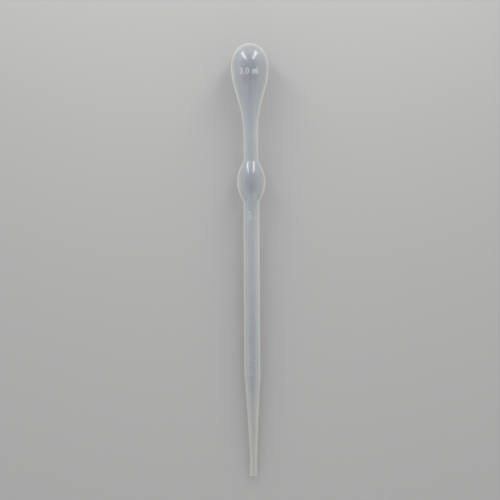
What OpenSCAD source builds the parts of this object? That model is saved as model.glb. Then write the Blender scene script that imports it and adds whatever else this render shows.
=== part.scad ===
// Plastic dropper pipette, blow moulded in one piece.
// A teardrop squeeze bulb, a slim neck, a small overflow bulb, a straight
// graduated stem and a tapered tip with a short straight end. It is hollow all
// the way: closed at the crown of the squeeze bulb, open at the tip's mouth.
//
// It lies as it comes to rest, on the squeeze bulb and the shoulder at the foot
// of the stem: bulb towards +Y, tip towards -Y, graduations up. The origin is
// under the middle of the bounding box, on the surface that the pipette lies
// on. Millimetres.

/* [Squeeze bulb] */
// Outside diameter at the bulb's widest ring
bulb_d = 17.44; // [15:0.01:20]
// Height of the domed crown above the widest ring
crown_l = 11.1; // [9:0.1:14]
// Fullness of the crown's shoulders, where 2 is a true ellipse
crown_n = 2.06; // [2:0.01:2.6]
// Length of the flare that narrows from the widest ring down to the neck
flare_l = 30.5; // [24:0.1:36]
// How late the flare opens out of the neck, where 1 is a plain cosine
flare_p = 1.18; // [1:0.01:1.3]
// Wall at the widest ring, where the blown plastic is thinnest
bulb_wall = 0.42; // [0.3:0.01:0.7]
// Wall at the middle of the crown
crown_wall = 0.5; // [0.3:0.01:0.8]

/* [Neck] */
// Outside diameter of the neck between the two bulbs
neck_d = 6.81; // [6:0.01:7.4]
// Straight length of the neck
neck_l = 12.73; // [8:0.05:20]
// Wall of the neck
neck_wall = 0.52; // [0.35:0.01:0.8]

/* [Overflow bulb] */
// Outside diameter of the overflow bulb
mid_d = 13.16; // [10:0.01:13.4]
// Half length of the bulb's curve on the squeeze bulb's side
mid_up = 13.08; // [10:0.01:14]
// Half length of the bulb's curve on the stem's side
mid_down = 12.1; // [10:0.01:14]
// Form of the curve on the squeeze bulb's side: 0.5 is an ellipse, 1 a parabola
mid_up_form = 1; // [0.5:0.01:1]
// Form of the curve on the stem's side
mid_down_form = 0.67; // [0.5:0.01:1]
// Wall at the overflow bulb's widest ring
mid_wall = 0.45; // [0.3:0.01:0.7]
// Softness of the corners where the bulb meets the neck and the stem
mid_blend = 0.4; // [0.2:0.05:1]

/* [Stem] */
// Outside diameter of the graduated stem
stem_d = 7.45; // [6.8:0.01:8]
// Length of the stem, from the shoulder to the overflow bulb
stem_l = 80.53; // [70:0.01:100]
// Wall of the stem
stem_wall = 0.58; // [0.35:0.01:0.8]
// How far the small shoulder stands out at the top of the taper
shoulder_h = 0.035; // [0:0.005:0.1]

/* [Tip] */
// Outside diameter of the straight end of the tip
tip_d = 3.33; // [3:0.01:4]
// Bore of the straight end of the tip
tip_bore = 2.3; // [1.6:0.05:2.4]
// Length of the straight end of the tip
tip_l = 9.9; // [6:0.1:14]
// Length of the taper between the tip and the stem
taper_l = 36.9; // [28:0.1:45]
// Outside diameter at the top of the taper, just under the shoulder
taper_d = 7.24; // [6.5:0.01:7.3]

/* [Graduations] */
// Distance from the mouth to the 1 ml line
first_line = 53.8; // [51:0.1:60]
// Distance between two numbered lines, which is 1 ml of the stem's bore
line_step = 32.3; // [28:0.1:32.5]
// How far the lines and numerals stand proud of the stem
mark_h = 0.1; // [0.05:0.01:0.15]
// Width of a line along the stem
line_w = 0.36; // [0.25:0.01:0.6]
// Angle that a numbered line spans round the stem
long_line = 60; // [40:1:90]
// Angle that a half line spans round the stem
short_line = 36; // [20:1:50]
// Height of the numerals
digit_h = 3.3; // [2:0.1:3.6]
// Thickness of the numerals' strokes
stroke_w = 0.42; // [0.3:0.01:0.5]

/* [Hidden] */

bulb_r = bulb_d / 2;
neck_r = neck_d / 2;
mid_r = mid_d / 2;
stem_r = stem_d / 2;
tip_r = tip_d / 2;
taper_r = taper_d / 2;
bore_r = tip_bore / 2;
stem_in = stem_r - stem_wall;
neck_in = neck_r - neck_wall;
mid_in = mid_r - mid_wall;
bulb_in = bulb_r - bulb_wall;
edge = 0.12;      // rounding of the cut mouth
shoulder_l = 2.6; // the shoulder settles into the stem over this length
root = 0.12;      // how deep a raised mark is rooted in the wall
seam = 4.05;      // half the angle of one flat of such a mesh

// Stations along the axis, measured from the mouth.
shoulder_u = tip_l + taper_l;
mid_u = shoulder_u + stem_l + reach(stem_r, mid_down, mid_down_form);
neck_u = mid_u + reach(neck_r, mid_up, mid_up_form);
flare_u = neck_u + neck_l;
bulb_u = flare_u + flare_l;
total_l = bulb_u + crown_l;

// How far from its centre a curve of the radius big narrows to radius r.
function reach(r, half, form, big = mid_r) = half * sqrt(1 - pow(r / big, 1 / form));

// The larger of two radii, with the corner between them rounded over k.
function soft_max(a, b, k) = max(a, b) + pow(max(0, k - abs(a - b)), 2) / (4 * k);

// Straight taper with a slight hollow bow, from a at s = 0 to b at s = 1.
function bowed(a, b, s) = a + (b - a) * (s + 0.1 * s * (s - 1));

// A cosine ramp from a to b, which opens late when p is over 1.
function ramp(a, b, s, p = 1) = a + (b - a) * (1 - cos(180 * pow(s, p))) / 2;

// Radius of a rounded form at x from its centre, and 0 past its end.
function oval(x, half, r, form) = r * pow(max(0, 1 - pow(x / half, 2)), form);

// Overflow bulb blended into the tube on each side, at x from its centre.
function overflow(x, r, tube_low, tube_high, thin) =
    x < 0 ? soft_max(tube_low, oval(x, mid_down - thin, r, mid_down_form), mid_blend)
          : soft_max(tube_high, oval(x, mid_up - thin, r, mid_up_form), mid_blend);

// Points of the overflow bulb, closer together where it meets the tubes.
function overflow_points(r, low, high, thin, steps) =
    let (below = reach(low, mid_down - thin, mid_down_form, r) + 0.9,
         above = reach(high, mid_up - thin, mid_up_form, r) + 0.9)
    [for (i = [0:steps])
        let (t = -90 + 180 * i / steps,
             x = (t < 0 ? below : above) * sin(t))
        [mid_u + x, overflow(x, r, low, high, thin)]];

// Points of the domed crown, from the widest ring to the pole.
function crown_points(r, high, steps) = [
    for (i = [0:steps])
        let (t = 90 * i / steps)
        [bulb_u + high * pow(sin(t), 2 / crown_n),
         i == steps ? 0 : r * pow(cos(t), 2 / crown_n)]
];

// Outside of the wall as [distance from the mouth, radius].
outside = concat(
    [for (i = [0:3]) let (t = 30 * i)
        [edge * (1 - cos(t)), tip_r - edge * (1 - sin(t))]],
    [for (i = [0:10]) let (s = i / 10.4)
        [tip_l + taper_l * s, bowed(tip_r, taper_r, s)]],
    [[shoulder_u - 0.7, taper_r - 0.02],
     [shoulder_u - 0.3, (taper_r + stem_r + shoulder_h) / 2],
     [shoulder_u + 0.3, stem_r + shoulder_h * 0.8]],
    [for (i = [0:4]) let (s = i / 4)
        [shoulder_u + 0.7 + (shoulder_l - 0.7) * s, ramp(stem_r + shoulder_h, stem_r, s)]],
    overflow_points(mid_r, stem_r, neck_r, 0, 34),
    [for (i = [0:22]) let (s = i / 23)
        [flare_u + flare_l * s, ramp(neck_r, bulb_r, s, flare_p)]],
    crown_points(bulb_r, crown_l, 16)
);

// Inside of the wall, in the same form.
inside = concat(
    [[0, bore_r + 0.08], [0.1, bore_r], [tip_l, bore_r]],
    [for (i = [1:8]) let (s = i / 8)
        [tip_l + taper_l * s, bowed(bore_r, stem_in, s)]],
    overflow_points(mid_in, stem_in, neck_in, mid_wall, 26),
    [for (i = [0:16]) let (s = i / 17)
        [flare_u + flare_l * s, ramp(neck_in, bulb_in, s, flare_p)]],
    crown_points(bulb_in, crown_l - crown_wall, 12)
);

// The pipette lies on the two rings that its weight falls between: one towards
// the tip, which is the shoulder at the foot of the stem, and one towards the
// crown, which is on the squeeze bulb. The slope of the line that bridges them
// is how far the axis dips from the bulb down to the tip.
middle = total_l * 0.55;
towards_tip = [for (p = outside) if (p[0] < middle) p];
towards_crown = [for (p = outside) if (p[0] > middle) p];
dip = min([for (a = towards_tip) max([for (b = towards_crown) (b[1] - a[1]) / (b[0] - a[0])])]);
tilt = atan(dip);
lift = max([for (p = outside) p[1] - dip * p[0]]) * cos(tilt);
y_low = min([for (p = outside) p[0] * cos(tilt) - p[1] * sin(tilt)]);
y_high = max([for (p = outside) p[0] * cos(tilt) + p[1] * sin(tilt)]);

// Outline of a stroke w wide along a path of points.
function unit(v) = v / norm(v);
function along(path, i) = unit(
    (i == len(path) - 1 ? [0, 0] : unit(path[i + 1] - path[i])) +
    (i == 0 ? [0, 0] : unit(path[i] - path[i - 1])));
function sides(path, w) = [
    for (i = [0:len(path) - 1])
        let (d = along(path, i)) path[i] + w / 2 * [-d[1], d[0]]
];
function backwards(list) = [for (i = [len(list) - 1:-1:0]) list[i]];
function outline(path, w) = concat(sides(path, w), backwards(sides(path, -w)));
function bend(centre, rx, ry, from, to, steps) = [
    for (i = [0:steps]) let (t = from + (to - from) * i / steps)
        centre + [rx * cos(t), ry * sin(t)]
];

module stroke(path, w = stroke_w) polygon(outline(path, w));

// Numerals and letters stand on the line y = 0 and are centred on x = 0.
module one(h) {
    stroke([[0.15, 0], [0.15, h]]);
    stroke([[0.25, h - stroke_w / 2], [-0.5, h - 0.85]]);
    stroke([[-0.5, stroke_w / 2], [0.8, stroke_w / 2]]);
}

module two(h) {
    rx = 0.72;
    ry = h * 0.27;
    top = h - ry - stroke_w / 2;
    stroke(concat(bend([0, top], rx, ry, 165, -30, 9), [[-0.72, stroke_w * 0.6]]));
    stroke([[-0.93, stroke_w / 2], [0.9, stroke_w / 2]]);
}

module three(h) {
    rx = 0.72;
    ry = (h - stroke_w) / 4;
    stroke(bend([0, stroke_w / 2 + 3 * ry], rx, ry, 155, -90, 10));
    stroke(bend([0, stroke_w / 2 + ry], rx, ry, 90, -155, 10));
    stroke([[-0.3, h / 2], [0.1, h / 2]]);
}

module ml(h) {
    w = stroke_w * 0.62;
    for (x = [-0.75, 0, 0.75]) stroke([[x, 0], [x, h * 0.72]], w);
    stroke([[-0.75, h * 0.72 - w / 2], [0.75, h * 0.72 - w / 2]], w);
    stroke([[1.3, 0], [1.3, h * 1.2]], w);
}

// Wraps a flat figure onto the upper side of the stem, u from the mouth.
module on_stem(u) intersection() {
    translate([0, 0, u]) rotate([90, 0, 0]) linear_extrude(height = stem_r + 1) children();
    translate([0, 0, u - 1]) difference() {
        cylinder(h = digit_h + 2, r = stem_r + mark_h, $fn = 96);
        translate([0, 0, -1]) cylinder(h = digit_h + 4, r = stem_r - root, $fn = 96);
    }
}

// A raised line round the upper side of the stem.
module line(u, span) rotate([0, 0, -90 - span / 2]) rotate_extrude(angle = span, $fn = 96)
    polygon([
        [stem_r - root, u - line_w / 2], [stem_r, u - line_w / 2],
        [stem_r + mark_h, u - line_w / 3], [stem_r + mark_h, u + line_w / 3],
        [stem_r, u + line_w / 2], [stem_r - root, u + line_w / 2]
    ]);

module marks() {
    for (i = [0:2]) line(first_line + i * line_step, long_line);
    for (i = [0:1]) line(first_line + (i + 0.5) * line_step, short_line);
    foot = line_w / 2 + 0.5;
    on_stem(first_line + foot) translate([-0.9, 0]) one(digit_h);
    on_stem(first_line + line_step + foot) translate([-0.9, 0]) two(digit_h);
    on_stem(first_line + 2 * line_step + foot) {
        translate([-0.9, 0]) three(digit_h);
        translate([1.4, 0]) ml(digit_h * 0.45);
    }
}

// The hollow wall, with its axis along +Z and the mouth at z = 0. The seam of
// the revolved surface lies just beside the line that the pipette rests on, so
// that a coarse mesh of it rests on a flat and not on a corner.
module wall() rotate([0, 0, 90 + seam]) rotate_extrude($fn = 96)
    polygon([for (p = concat(outside, backwards(inside))) [p[1], p[0]]]);

module pipette() color([0.86, 0.88, 0.9])
    translate([0, -(y_low + y_high) / 2, lift]) rotate([tilt - 90, 0, 0]) {
        wall();
        marks();
    }

pipette();
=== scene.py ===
"""Plastic dropper pipette: one blow-moulded, translucent, milky polyethylene piece lying on a pale table."""

import math

import bmesh
import bpy
import numpy as np
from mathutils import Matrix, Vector


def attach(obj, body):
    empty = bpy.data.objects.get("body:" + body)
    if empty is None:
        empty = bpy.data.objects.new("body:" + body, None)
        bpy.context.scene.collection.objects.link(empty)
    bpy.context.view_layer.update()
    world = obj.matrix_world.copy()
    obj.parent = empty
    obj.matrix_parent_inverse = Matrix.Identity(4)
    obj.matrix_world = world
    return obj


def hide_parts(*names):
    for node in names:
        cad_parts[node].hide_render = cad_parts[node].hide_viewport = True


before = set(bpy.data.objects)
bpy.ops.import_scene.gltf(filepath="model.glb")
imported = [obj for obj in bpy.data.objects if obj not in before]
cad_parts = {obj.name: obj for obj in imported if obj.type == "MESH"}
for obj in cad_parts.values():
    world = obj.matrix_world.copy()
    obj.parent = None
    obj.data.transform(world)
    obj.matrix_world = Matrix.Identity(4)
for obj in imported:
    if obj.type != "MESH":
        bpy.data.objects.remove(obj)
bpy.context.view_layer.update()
MM = 0.001

# ---------------------------------------------------------------- sizes, mm
BULB_R, CROWN_L, CROWN_N = 8.72, 11.1, 2.06
FLARE_L, FLARE_P = 30.5, 1.18
NECK_R, NECK_L = 3.405, 12.73
MID_R, MID_UP, MID_DOWN, MID_UP_FORM, MID_DOWN_FORM, MID_BLEND = 6.58, 13.08, 12.1, 1.0, 0.67, 0.4
STEM_R, STEM_L, SHOULDER_H, SHOULDER_L = 3.725, 80.53, 0.035, 2.6
TIP_R, TIP_L, TAPER_L, TAPER_R, BORE_R = 1.665, 9.9, 36.9, 3.62, 1.15
BULB_WALL, CROWN_WALL, NECK_WALL, MID_WALL, STEM_WALL = 0.42, 0.5, 0.52, 0.45, 0.58
EDGE = 0.12
FIRST_LINE, LINE_STEP, MARK_H, LINE_W = 53.8, 32.3, 0.1, 0.36
DIGIT_H, STROKE = 3.3, 0.42

STEM_IN, NECK_IN = STEM_R - STEM_WALL, NECK_R - NECK_WALL
MID_IN, BULB_IN = MID_R - MID_WALL, BULB_R - BULB_WALL


def reach(r, half, form, big=MID_R):
    return half * math.sqrt(1 - (r / big) ** (1 / form))


SHOULDER_U = TIP_L + TAPER_L
MID_U = SHOULDER_U + STEM_L + reach(STEM_R, MID_DOWN, MID_DOWN_FORM)
NECK_U = MID_U + reach(NECK_R, MID_UP, MID_UP_FORM)
FLARE_U = NECK_U + NECK_L
BULB_U = FLARE_U + FLARE_L
TOTAL_L = BULB_U + CROWN_L


def soft_max(a, b, k):
    return max(a, b) + max(0.0, k - abs(a - b)) ** 2 / (4 * k)


def bowed(a, b, s):
    return a + (b - a) * (s + 0.1 * s * (s - 1))


def ramp(a, b, s, p=1.0):
    return a + (b - a) * (1 - math.cos(math.pi * s**p)) / 2


def oval(x, half, r, form):
    return r * max(0.0, 1 - (x / half) ** 2) ** form


def overflow(x, r, low, high, thin):
    if x < 0:
        return soft_max(low, oval(x, MID_DOWN - thin, r, MID_DOWN_FORM), MID_BLEND)
    return soft_max(high, oval(x, MID_UP - thin, r, MID_UP_FORM), MID_BLEND)


def crown(t, r, high):
    """Point of the domed crown at t from 0, the widest ring, to 1, the pole."""
    a = math.pi / 2 * t
    out = 0.0 if t >= 1 else r * math.cos(a) ** (2 / CROWN_N)
    return BULB_U + high * math.sin(a) ** (2 / CROWN_N), out


def spread(a, b, n):
    """n steps from a, without b."""
    return [a + (b - a) * i / n for i in range(n)]


def interp(points, u):
    us, rs = zip(*points)
    return float(np.interp(u, us, rs))


# the small shoulder where the taper meets the stem
SHOULDER = [
    (SHOULDER_U - 1.4192, bowed(TIP_R, TAPER_R, 10 / 10.4)),
    (SHOULDER_U - 0.7, TAPER_R - 0.02),
    (SHOULDER_U - 0.3, (TAPER_R + STEM_R + SHOULDER_H) / 2),
    (SHOULDER_U + 0.3, STEM_R + SHOULDER_H * 0.8),
    (SHOULDER_U + 0.7, STEM_R + SHOULDER_H),
]


def outer_r(u):
    """Outside radius between the mouth's rounding and the widest ring."""
    if u <= TIP_L:
        return TIP_R
    if u <= SHOULDER[0][0]:
        return bowed(TIP_R, TAPER_R, (u - TIP_L) / TAPER_L)
    if u <= SHOULDER[-1][0]:
        return interp(SHOULDER, u)
    if u <= SHOULDER_U + SHOULDER_L:
        return ramp(STEM_R + SHOULDER_H, STEM_R, (u - SHOULDER_U - 0.7) / (SHOULDER_L - 0.7))
    if u <= MID_U - MID_DOWN:
        return STEM_R
    if u < MID_U + MID_UP:
        return overflow(u - MID_U, MID_R, STEM_R, NECK_R, 0.0)
    if u <= FLARE_U:
        return NECK_R
    return ramp(NECK_R, BULB_R, min(1.0, (u - FLARE_U) / FLARE_L), FLARE_P)


def inner_r(u):
    if u <= TIP_L:
        return BORE_R
    if u <= SHOULDER_U:
        return bowed(BORE_R, STEM_IN, (u - TIP_L) / TAPER_L)
    if u <= MID_U - MID_DOWN:
        return STEM_IN
    if u < MID_U + MID_UP:
        return overflow(u - MID_U, MID_IN, STEM_IN, NECK_IN, MID_WALL)
    if u <= FLARE_U:
        return NECK_IN
    return ramp(NECK_IN, BULB_IN, min(1.0, (u - FLARE_U) / FLARE_L), FLARE_P)


# ------------------------------------------------- raised lines and numerals
def bend(cx, cy, rx, ry, a, b, steps):
    return [
        (cx + rx * math.cos(math.radians(a + (b - a) * i / steps)),
         cy + ry * math.sin(math.radians(a + (b - a) * i / steps)))
        for i in range(steps + 1)
    ]


def one(h):
    return [
        [(0.15, STROKE / 2), (0.15, h - STROKE / 2)],
        [(0.15, h - STROKE / 2), (-0.5, h - 0.85)],
        [(-0.3, STROKE / 2), (0.6, STROKE / 2)],
    ]


def two(h):
    rx, ry = 0.72, h * 0.27
    top = h - ry - STROKE / 2
    return [
        bend(0, top, rx, ry, 165, -30, 9) + [(-0.72, STROKE * 0.6)],
        [(-0.72, STROKE / 2), (0.72, STROKE / 2)],
    ]


def three(h):
    rx, ry = 0.72, (h - STROKE) / 4
    return [
        bend(0, STROKE / 2 + 3 * ry, rx, ry, 155, -90, 10),
        bend(0, STROKE / 2 + ry, rx, ry, 90, -155, 10),
        [(-0.2, h / 2), (0.05, h / 2)],
    ]


def level(h):
    """The level parts of the 3, which show the most: painted whiter as a painted highlight where light catches them."""
    return [[(-0.55, STROKE / 2), (0.2, STROKE / 2)], [(-0.2, h / 2), (0.4, h / 2)],
            [(-0.55, h - STROKE / 2), (0.2, h - STROKE / 2)]]


def zero(h):
    return [bend(0, h / 2, 0.72, (h - STROKE) / 2, 0, 360, 20)]


def millilitre(h):
    w, x = STROKE * 0.31, h * 0.72
    return [
        [(-0.75, w), (-0.75, x - w)], [(0, w), (0, x - w)], [(0.75, w), (0.75, x - w)],
        [(-0.75, x - w), (0.75, x - w)],
        [(1.3, w), (1.3, h * 1.2 - w)],
    ]


def place(strokes, x, u, scale=1.0):
    return [[(x + p * scale, u + q * scale) for p, q in s] for s in strokes]


def from_strokes(x, u, strokes):
    """Least distance of the points (x, u) to any of the strokes."""
    best = np.full(x.shape, 1e9)
    for s in strokes:
        for (x0, y0), (x1, y1) in zip(s, s[1:]):
            dx, dy = x1 - x0, y1 - y0
            t = np.clip(((x - x0) * dx + (u - y0) * dy) / (dx * dx + dy * dy), 0, 1)
            best = np.minimum(best, np.hypot(x - x0 - t * dx, u - y0 - t * dy))
    return best


def raised(distance, width, soft=0.09):
    """1 on a stroke of that width and 0 off it, with a soft flank."""
    t = np.clip((width / 2 + soft / 2 - distance) / soft, 0, 1)
    return t * t * (3 - 2 * t)


FOOT = LINE_W / 2 + 0.5
# Raised marks are painted whiter: partly the thicker plastic's own milkiness, partly a painted highlight for the light
# their raised strokes catch.
# place, half the angle it spans, and how white it is: in the photo only the lowest is plain to see
LINES = [(FIRST_LINE + i * LINE_STEP, 30.0, (0.47, 0.36, 0.28)[i]) for i in range(3)]
LINES += [(FIRST_LINE + (i + 0.5) * LINE_STEP, 18.0, 0.36) for i in range(2)]
# strokes, their width, and how white they are: only the 3 is plain to see
GLYPHS = [
    (place(one(DIGIT_H), -0.9, FIRST_LINE + FOOT), STROKE, 0.25),
    (place(two(DIGIT_H), -0.9, FIRST_LINE + LINE_STEP + FOOT), STROKE, 0.25),
    (place(three(DIGIT_H), -0.9, FIRST_LINE + 2 * LINE_STEP + FOOT), STROKE, 0.4),
    # the level strokes of the 3 are painted whiter still, a painted highlight
    (place(level(DIGIT_H), -0.9, FIRST_LINE + 2 * LINE_STEP + FOOT), STROKE, 0.85),
    (place(millilitre(DIGIT_H * 0.45), 1.4, FIRST_LINE + 2 * LINE_STEP + FOOT), STROKE * 0.62, 0.1),
]

# a plain capacity mark near the squeeze bulb's widest ring
BULB_MARK_U, BULB_MARK_H, BULB_MARK_LIFT = 185.2, 2.8, 0.05
BULB_MARK = (
    place(three(DIGIT_H), -4.0, BULB_MARK_U, BULB_MARK_H / DIGIT_H)
    + place([[(-0.08, 0.14), (0.12, 0.14), (0.12, 0.32), (-0.08, 0.32)]], -2.55, BULB_MARK_U)
    + place(zero(DIGIT_H), -1.1, BULB_MARK_U, BULB_MARK_H / DIGIT_H)
    + place(millilitre(2.8), 2.1, BULB_MARK_U)
)

# ------------------------------------------------------------ rows, columns
rows = []
rows += [(EDGE * (1 - math.cos(a)), TIP_R - EDGE * (1 - math.sin(a))) for a in spread(0, math.pi / 2, 4)]
stations = [EDGE, 0.8, 2.5, 5.0, 7.5, 9.4]
stations += spread(TIP_L, SHOULDER[0][0], 16)
stations += spread(SHOULDER[0][0], SHOULDER_U + SHOULDER_L, 16)


def fine(lo, hi, step):
    n = int(round((hi - lo) / step))
    return spread(lo, hi, n) + [hi]


stops = []
for i in range(3):
    u = FIRST_LINE + i * LINE_STEP
    stops.append((u - 0.34, u + FOOT + DIGIT_H + 0.14, 0.085))
for i in range(2):
    u = FIRST_LINE + (i + 0.5) * LINE_STEP
    stops.append((u - 0.34, u + 0.34, 0.085))
at = SHOULDER_U + SHOULDER_L
for lo, hi, step in sorted(stops):
    stations += spread(at, lo, max(2, int((lo - at) / 4)))
    stations += fine(lo, hi, step)
    at = hi + 0.4


def overflow_stations(r, low, high, thin, n):
    """Along the overflow bulb, closer together where it meets the tubes."""
    below = reach(low, MID_DOWN - thin, MID_DOWN_FORM, r) + 0.9
    above = reach(high, MID_UP - thin, MID_UP_FORM, r) + 0.9
    return [MID_U + (below if t < 0 else above) * math.sin(math.pi / 2 * t) for t in np.linspace(-1, 1, n)]


mid = overflow_stations(MID_R, STEM_R, NECK_R, 0.0, 71)
stations += spread(at, mid[0], 2)
stations += mid
stations += [NECK_U + 4.5, NECK_U + 8, NECK_U + 11.5]
stations += spread(FLARE_U, BULB_MARK_U - 0.25, 38)
stations += [u for u in fine(BULB_MARK_U - 0.25, BULB_MARK_U + 3.2, 0.1) if u < BULB_U]
rows += [(u, outer_r(u)) for u in stations if u < BULB_U]
mark_top = BULB_MARK_U + 3.2
crown_t = [0.0]
while crown_t[-1] < 1:
    u0 = crown(crown_t[-1], BULB_R, CROWN_L)[0]
    crown_t.append(min(1.0, crown_t[-1] + (0.004 if u0 < mark_top else 0.034)))
rows += [crown(t, BULB_R, CROWN_L) for t in crown_t]

inside = [(0.0, BORE_R + 0.08), (0.04, BORE_R + 0.02), (0.1, BORE_R), (5.0, BORE_R), (TIP_L - 0.5, BORE_R)]
inside += [(u, inner_r(u)) for u in spread(TIP_L, SHOULDER_U, 14)]
inside += [(u, inner_r(u)) for u in spread(SHOULDER_U, MID_U - MID_DOWN, 12)]
inside += [(u, inner_r(u)) for u in overflow_stations(MID_IN, STEM_IN, NECK_IN, MID_WALL, 61)]
inside += [(NECK_U + 5, NECK_IN), (NECK_U + 10, NECK_IN)]
inside += [(u, inner_r(u)) for u in spread(FLARE_U, BULB_U, 36)]
inside += [crown(t, BULB_IN, CROWN_L - CROWN_WALL) for t in np.linspace(0, 1, 26)]

angles = list(np.arange(-20, 20, 0.62)) + list(np.arange(20, 51, 1.15)) + list(np.arange(51, 87, 5.0))
angles += [88.0, 88.8, 89.5, 90.0, 90.5, 91.2, 92.0] + list(np.arange(96, 265, 5.6))
angles += [268.0, 268.8, 269.5, 270.0, 270.5, 271.2, 272.0] + list(np.arange(277, 325, 5.0))
angles += list(np.arange(326, 339.9, 1.15))
angles = np.radians(np.array(sorted(set(round(a, 3) for a in angles))))
inner_angles = np.radians(np.arange(0, 360, 6.0))

# ------------------------------------- how the pipette lies: dip, lift, middle
low_end = [p for p in rows if p[0] < TOTAL_L * 0.55]
high_end = [p for p in rows if p[0] > TOTAL_L * 0.55]
DIP = min(max((b[1] - a[1]) / (b[0] - a[0]) for b in high_end) for a in low_end)
TILT = math.atan(DIP)
LIFT = max(r - DIP * u for u, r in rows) * math.cos(TILT)
Y_LOW = min(u * math.cos(TILT) - r * math.sin(TILT) for u, r in rows)
Y_HIGH = max(u * math.cos(TILT) + r * math.sin(TILT) for u, r in rows)


def to_frame(x, up, u):
    """From the pipette's own axes, in mm, to the row frame, in metres."""
    c, s = math.cos(TILT), math.sin(TILT)
    return np.stack([x, u * c - up * s - (Y_LOW + Y_HIGH) / 2, u * s + up * c + LIFT], axis=-1) * MM


# The moulded tube isn't quite straight: how far its middle line lies to +X, by u,
# and how far the cavity lies off that line, where one side of the wall is thicker.
BOW = [
    (0, 0.0), (20, 0.01), (60, -0.06), (95, 0.05), (115, 0.13), (127, 0.2),
    (145, 0.17), (160, 0.12), (175, 0.02), (183, 0.0), (190, 0.0), (200, 0.0),
]
CAVITY = [
    (0, 0.0), (30, -0.02), (70, -0.05), (115, -0.03), (135, 0.07),
    (150, 0.02), (165, 0.02), (188, 0.08), (200, 0.02),
]
# The ridge at the mould's parting line stays inside the nominal size, and the tube still touches the table.
INSET, END, SETTLE = 0.036, 0.005, 0.026


def smooth_through(points, u):
    """A smooth curve through the points, level at each end."""
    us, vs = (np.array(p, dtype=float) for p in zip(*points))
    slope = np.gradient(vs, us)
    slope[0] = slope[-1] = 0.0
    i = np.clip(np.searchsorted(us, u) - 1, 0, len(us) - 2)
    h = us[i + 1] - us[i]
    t = np.clip((u - us[i]) / h, 0, 1)
    return (
        vs[i] * (1 + 2 * t) * (1 - t) ** 2
        + vs[i + 1] * t * t * (3 - 2 * t)
        + h * t * (1 - t) * (slope[i] * (1 - t) - slope[i + 1] * t)
    )


def surface(rows, angles, outside):
    u = np.array([p[0] for p in rows])[:, None] * np.ones(len(angles))
    r = np.array([p[1] for p in rows])[:, None] * np.ones(len(angles))
    a = angles[None, :] * np.ones(len(rows))[:, None]
    middle = smooth_through(BOW, u)
    if outside:
        x, up = r * np.sin(a), np.cos(a) > 0
        deg = np.degrees((a + math.pi) % (2 * math.pi) - math.pi)
        lift, white = np.zeros_like(r), np.zeros_like(r)
        on_stem = (u > SHOULDER_U + 3) & (u < MID_U - MID_DOWN) & up
        near = on_stem & (np.abs(x) < 3.4)
        strokes = []
        for line, half, pale in LINES:
            over = np.hypot(np.maximum(0, np.abs(deg) - half) * math.pi / 180 * STEM_R, u - line)
            strokes.append((raised(over, LINE_W) * on_stem, pale))
        for glyph, width, pale in GLYPHS:
            strokes.append((raised(from_strokes(x, u, glyph), width) * near, pale))
        for stroke, pale in strokes:
            lift, white = np.maximum(lift, MARK_H * stroke), np.maximum(white, pale * stroke)
        # the bulb's raised mark is painted nearly white: partly thicker plastic, partly a painted highlight for the
        # glints on its strokes
        on_bulb = (u > BULB_MARK_U - 1) & (u < BULB_MARK_U + 4) & up & (np.abs(x) < 5)
        label = raised(from_strokes(x, u, BULB_MARK), 0.34, 0.14) * on_bulb
        lift, white = np.maximum(lift, BULB_MARK_LIFT * label), np.maximum(white, 0.85 * label)
        # the fine line where the mould's halves met, along both sides and over the crown
        side = np.abs(np.abs(deg) - 90) * math.pi / 180 * r
        lift += 0.03 * raised(side, 0.14, 0.14) * np.clip((TOTAL_L - 0.1 - u) / 0.6, 0, 1)
        r = r - INSET * np.clip(r / 0.6, 0, 1) + lift
        u = END + u * (TOTAL_L - 2 * END) / TOTAL_L
    else:
        middle, white = middle + smooth_through(CAVITY, u), np.zeros_like(r)
    return to_frame(middle + r * np.sin(a), r * np.cos(a) - SETTLE, u), white


# By u, from 0 at the tip to 1 at the squeeze bulb: where along the pipette the veils' painted shade lies, from painted
# light at the tip to the darkest painted shade in the squeeze bulb.
SHADE_ALONG = [
    (0, 0.0), (30, 0.05), (46, 0.38), (60, 0.45), (120, 0.5), (136, 0.85),
    (147, 0.6), (160, 0.62), (176, 0.92), (188, 1.0), (200, 1.0),
]


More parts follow.
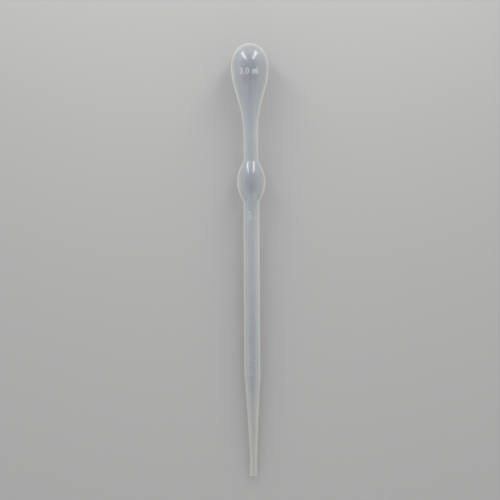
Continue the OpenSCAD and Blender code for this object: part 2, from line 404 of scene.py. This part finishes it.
def build_wall():
    out, white = surface(rows[:-1], angles, True)
    inn, _ = surface(inside[:-1], inner_angles, False)
    n, m = len(angles), len(inner_angles)
    verts = list(map(tuple, out.reshape(-1, 3)))
    faces = []
    for i in range(len(rows) - 2):
        for j in range(n):
            k = (j + 1) % n
            faces.append((i * n + j, i * n + k, (i + 1) * n + k, (i + 1) * n + j))
    pole = len(verts)
    verts.append(tuple(to_frame(np.array(0.0), np.array(-SETTLE), np.array(rows[-1][0] - END))))
    top = (len(rows) - 2) * n
    for j in range(n):
        faces.append((top + j, top + (j + 1) % n, pole))
    base = len(verts)
    verts += list(map(tuple, inn.reshape(-1, 3)))
    for i in range(len(inside) - 2):
        for j in range(m):
            k = (j + 1) % m
            faces.append((base + i * m + j, base + (i + 1) * m + j, base + (i + 1) * m + k, base + i * m + k))
    pole = len(verts)
    verts.append(tuple(to_frame(np.array(0.0), np.array(-SETTLE), np.array(inside[-1][0]))))
    top = base + (len(inside) - 2) * m
    for j in range(m):
        faces.append((top + j, pole, top + (j + 1) % m))
    # the cut face of the mouth, between rings with different numbers of points
    a, b = list(angles) + [angles[0] + 2 * math.pi], list(inner_angles) + [inner_angles[0] + 2 * math.pi]
    shift = int(np.argmin(np.abs(np.array(inner_angles) - angles[0] % (2 * math.pi))))
    inner_ring = [(shift + j) % m for j in range(m + 1)]
    inner_a = [inner_angles[q] for q in inner_ring]
    for j in range(1, len(inner_a)):
        while inner_a[j] < inner_a[j - 1] - 1e-9:
            inner_a[j] += 2 * math.pi
    base_a = angles[0] % (2 * math.pi)
    outer_a = [base_a + (angles[j % n] - angles[0]) + (2 * math.pi if j == n else 0) for j in range(n + 1)]
    i = j = 0
    while i < n or j < m:
        step_outer = j == m or (i < n and outer_a[i + 1] <= inner_a[j + 1])
        if step_outer:
            faces.append((i % n, base + inner_ring[j], (i + 1) % n))
            i += 1
        else:
            faces.append((i % n, base + inner_ring[j], base + inner_ring[j + 1]))
            j += 1
    mesh = bpy.data.meshes.new("pipette_wall")
    mesh.from_pydata(verts, [], faces)
    mesh.update()
    # for the material: the wall's inner side, where along the pipette the veils' painted shade lies, and where a mark
    # is raised
    spans = [(p, n) for p in rows[:-1]] + [(rows[-1], 1)] + [(p, m) for p in inside[:-1]] + [(inside[-1], 1)]
    masks = {
        "inside": [0.0] * base + [1.0] * (len(verts) - base),
        "blown": [v for p, times in spans for v in [float(smooth_through(SHADE_ALONG, np.array(p[0])))] * times],
        "mark": list(white.ravel()) + [0.0] * (len(verts) - white.size),
    }
    for name, values in masks.items():
        mesh.attributes.new(name, "FLOAT", "POINT").data.foreach_set("value", values)
    piece = bpy.data.objects.new("pipette_wall", mesh)
    bpy.context.scene.collection.objects.link(piece)
    bm = bmesh.new()
    bm.from_mesh(mesh)
    bmesh.ops.recalc_face_normals(bm, faces=bm.faces)
    bad = [e for e in bm.edges if len(e.link_faces) != 2]
    print("wall:", len(bm.verts), "vertices,", sum(len(f.verts) - 2 for f in bm.faces), "triangles, open edges", len(bad), "volume mm3", bm.calc_volume() * 1e9)
    bm.to_mesh(mesh)
    bm.free()
    mesh.polygons.foreach_set("use_smooth", [True] * len(mesh.polygons))
    return piece


wall = build_wall()
print("tilt", math.degrees(TILT), "lift", LIFT, "y", Y_LOW, Y_HIGH, "rows", len(rows), "columns", len(angles))


# ---------------------------------------------------------------- material
# Natural low-density polyethylene. The wall itself scatters light, so it is whitest where one looks
# along it, at the sides; each surface adds a thin veil, with a soft warm glow towards its edges.
# It is one material on the whole closed wall.
SCATTER, SCATTER_TINT = 500.0, (1.0, 0.985, 0.92)
# the inner veil is more opaque than the outer one, so more of its painted shade shows
ALPHA_OUTSIDE, ALPHA_INSIDE = 0.20, 0.28
# the veil lets most light past, and thins its own gloss as much, so the gloss is set stronger
IOR, ROUGH, ROUGH_INSIDE, COAT_IOR, COAT_ROUGH = 1.9, 0.15, 0.10, 1.9, 0.08
SHEEN_ROUGH, SHEEN_TINT = 0.55, (1.0, 0.89, 0.68)
# raised marks get a denser, whiter veil: partly the thicker plastic, partly painted highlight
MARK_ALPHA, MARK_WHITE = 0.8, (0.93, 0.935, 0.94)
# The veils' colours along the pipette. Both grow darker and bluer towards the squeeze bulb, the inner one nearly to
# black: a painted shade that darkens the middle of the tube, over the plastic's bluish tint. At the tip both are
# painted lighter, painted light against the table's shade there.
VEIL_AND_SHADE = {
    # at the tip, at the stem, at the squeeze bulb
    "outside": ((0.0, (0.598, 0.61, 0.616)), (0.5, (0.48, 0.55, 0.63)), (1.0, (0.375, 0.48, 0.58))),
    "inside": ((0.0, (0.312, 0.32, 0.326)), (0.5, (0.08, 0.165, 0.27)), (1.0, (0.0, 0.04, 0.13))),
}


def node(tree, kind, inputs=None, **settings):
    made = tree.nodes.new(kind)
    for name, value in settings.items():
        setattr(made, name, value)
    for name, value in (inputs or {}).items():
        if isinstance(value, bpy.types.NodeSocket):
            tree.links.new(value, made.inputs[name])
        else:
            made.inputs[name].default_value = value
    return made


def blend_colour(tree, factor, a, b):
    mix = node(tree, "ShaderNodeMix", {"Factor": factor}, data_type="RGBA")
    for name, value in (("A", a), ("B", b)):
        if isinstance(value, bpy.types.NodeSocket):
            tree.links.new(value, mix.inputs[name])
        else:
            mix.inputs[name].default_value = (*value, 1)
    return mix.outputs["Result"]


def ramp_colour(tree, factor, colours, smooth="LINEAR"):
    """Through the colours, each at its position, as the factor goes from 0 to 1."""
    made = node(tree, "ShaderNodeValToRGB", {"Fac": factor})
    made.color_ramp.interpolation = smooth
    stops = made.color_ramp.elements
    while len(stops) < len(colours):
        stops.new(0.5)
    for stop, (position, colour) in zip(stops, colours):
        stop.position, stop.color = position, (*colour, 1)
    return made.outputs["Color"]


def milky_polyethylene():
    mat = bpy.data.materials.new("milky_polyethylene")
    mat.use_nodes = True
    tree = mat.node_tree
    tree.nodes.clear()
    where = node(tree, "ShaderNodeTexCoord").outputs["Object"]
    side = node(tree, "ShaderNodeAttribute", attribute_name="inside").outputs["Fac"]
    blown = node(tree, "ShaderNodeAttribute", attribute_name="blown").outputs["Fac"]
    mark = node(tree, "ShaderNodeAttribute", attribute_name="mark").outputs["Fac"]
    # flow lines along the draw direction: noise stretched along Y
    along = node(tree, "ShaderNodeMapping", {"Vector": where, "Scale": (900.0, 9.0, 900.0)}).outputs["Vector"]
    flow = node(tree, "ShaderNodeTexNoise", {"Vector": along, "Scale": 1.0, "Detail": 2.0, "Roughness": 0.5}).outputs["Fac"]
    cloud = node(tree, "ShaderNodeTexNoise", {"Vector": where, "Scale": 110.0, "Detail": 3.0, "Roughness": 0.55}).outputs["Fac"]
    skin = node(tree, "ShaderNodeTexNoise", {"Vector": where, "Scale": 650.0, "Detail": 2.0, "Roughness": 0.5}).outputs["Fac"]
    # the veil's colour, with its painted shade along the pipette, and its slight unevenness
    veil_and_shade = blend_colour(tree, side, ramp_colour(tree, blown, VEIL_AND_SHADE["outside"]), ramp_colour(tree, blown, VEIL_AND_SHADE["inside"]))
    veil_and_shade = blend_colour(tree, mark, veil_and_shade, MARK_WHITE)
    thick = node(tree, "ShaderNodeMapRange", {"Value": side, "To Min": ALPHA_OUTSIDE, "To Max": ALPHA_INSIDE}).outputs["Result"]
    thick = node(tree, "ShaderNodeMapRange", {"Value": mark, "To Min": thick, "To Max": MARK_ALPHA}).outputs["Result"]
    mixed = node(tree, "ShaderNodeMath", {0: flow, 1: cloud}, operation="ADD").outputs[0]
    tone = node(tree, "ShaderNodeMapRange", {"Value": mixed, "From Min": 0.6, "From Max": 1.4, "To Min": 0.9, "To Max": 1.1}).outputs["Result"]
    shade = node(tree, "ShaderNodeVectorMath", {0: veil_and_shade}, operation="SCALE")
    tree.links.new(tone, shade.inputs["Scale"])
    haze = node(tree, "ShaderNodeMapRange", {"Value": cloud, "From Min": 0.3, "From Max": 0.7, "To Min": ROUGH * 0.8, "To Max": ROUGH * 1.25}).outputs["Result"]
    sleek = node(tree, "ShaderNodeMapRange", {"Value": side, "To Min": 1.0, "To Max": ROUGH_INSIDE / ROUGH}).outputs["Result"]
    haze = node(tree, "ShaderNodeMath", {0: haze, 1: sleek}, operation="MULTIPLY").outputs[0]
    bump = node(tree, "ShaderNodeBump", {"Height": skin, "Strength": 0.12, "Distance": 0.00006}).outputs["Normal"]
    bump = node(tree, "ShaderNodeBump", {"Height": flow, "Strength": 0.10, "Distance": 0.00005, "Normal": bump}).outputs["Normal"]
    skin_shader = node(
        tree,
        "ShaderNodeBsdfPrincipled",
        {
            "Base Color": shade.outputs["Vector"],
            "Roughness": haze,
            "IOR": IOR,
            "Alpha": thick,
            "Coat Weight": 1.0,
            "Coat IOR": COAT_IOR,
            "Coat Roughness": COAT_ROUGH,
            "Sheen Weight": 1.0,
            "Sheen Roughness": SHEEN_ROUGH,
            "Sheen Tint": (*SHEEN_TINT, 1),
            "Normal": bump,
        },
    )
    milk = node(tree, "ShaderNodeVolumeScatter", {"Color": (*SCATTER_TINT, 1), "Density": SCATTER})
    node(tree, "ShaderNodeOutputMaterial", {"Surface": skin_shader.outputs["BSDF"], "Volume": milk.outputs["Volume"]})
    return mat


wall.data.materials.append(milky_polyethylene())
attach(wall, "root")
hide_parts("pipette")


# ------------------------------------------------------- floor, light, camera
FLOOR = (0.49, 0.4875, 0.4815)
WORLD = 1.17
# the sky by how high one looks: the sine of the height over the horizon, and the colour there
SKY = [(0.0, (0.50, 0.497, 0.49)), (0.38, (0.92, 0.914, 0.896)), (0.85, (0.38, 0.388, 0.405))]


def floor_disc():
    bm = bmesh.new()
    bmesh.ops.create_circle(bm, cap_ends=True, segments=96, radius=4.0)
    mesh = bpy.data.meshes.new("floor")
    bm.to_mesh(mesh)
    bm.free()
    obj = bpy.data.objects.new("floor", mesh)
    bpy.context.scene.collection.objects.link(obj)
    mat = bpy.data.materials.new("floor_paper")
    mat.use_nodes = True
    bsdf = mat.node_tree.nodes["Principled BSDF"]
    bsdf.inputs["Base Color"].default_value = (*FLOOR, 1)
    bsdf.inputs["Roughness"].default_value = 0.75
    bsdf.inputs["Specular IOR Level"].default_value = 0.2
    mesh.materials.append(mat)


def studio_world():
    """Soft light from all round, strongest from about 20 degrees over the horizon."""
    world = bpy.data.worlds.new("studio")
    bpy.context.scene.world = world
    world.use_nodes = True
    tree = world.node_tree
    tree.nodes.clear()
    way = node(tree, "ShaderNodeTexCoord").outputs["Generated"]
    up = node(tree, "ShaderNodeSeparateXYZ", {"Vector": way}).outputs["Z"]
    shade = ramp_colour(tree, up, SKY, "EASE")
    light = node(tree, "ShaderNodeBackground", {"Color": shade, "Strength": WORLD})
    node(tree, "ShaderNodeOutputWorld", {"Surface": light.outputs["Background"]})


def panel(name, azimuth, distance, low, high, width, power):
    """An upright softbox beyond the bulb's end, azimuth degrees from +Y towards +X, facing the squeeze bulb."""
    light = bpy.data.lights.new(name, "AREA")
    light.shape = "RECTANGLE"
    light.size, light.size_y = width, high - low
    light.energy = power
    obj = bpy.data.objects.new(name, light)
    bpy.context.scene.collection.objects.link(obj)
    a = math.radians(azimuth)
    way = Vector((math.sin(a), math.cos(a), 0))
    obj.location = way * distance + Vector((0, 0.09, (low + high) / 2))
    obj.rotation_euler = way.to_track_quat("Z", "Y").to_euler()
    obj.visible_camera = False


floor_disc()
studio_world()
panel("panel_left", -39.5, 0.22, 0.035, 0.36, 0.062, 0.35)
panel("panel_right", 35, 0.22, 0.035, 0.36, 0.062, 0.41)

# light goes through many thin layers of the wall, and scatters often inside it
paths = bpy.context.scene.cycles
paths.max_bounces = 48
paths.volume_bounces = 48
paths.transparent_max_bounces = 48

LENS = 120.0
SCALE = 0.46189 * MM  # metres of the table per picture column
camera = bpy.data.cameras.new("camera")
camera.lens, camera.sensor_width = LENS, 36.0
cam = bpy.data.objects.new("camera", camera)
bpy.context.scene.collection.objects.link(cam)
lean = math.radians(-0.556)
cam.rotation_euler = (0, 0, lean)
cam.location = (-0.00067, 0.00477, 500 * SCALE * LENS / 36.0 + 0.0055)
bpy.context.scene.camera = cam
bpy.context.scene.view_settings.view_transform = "Standard"
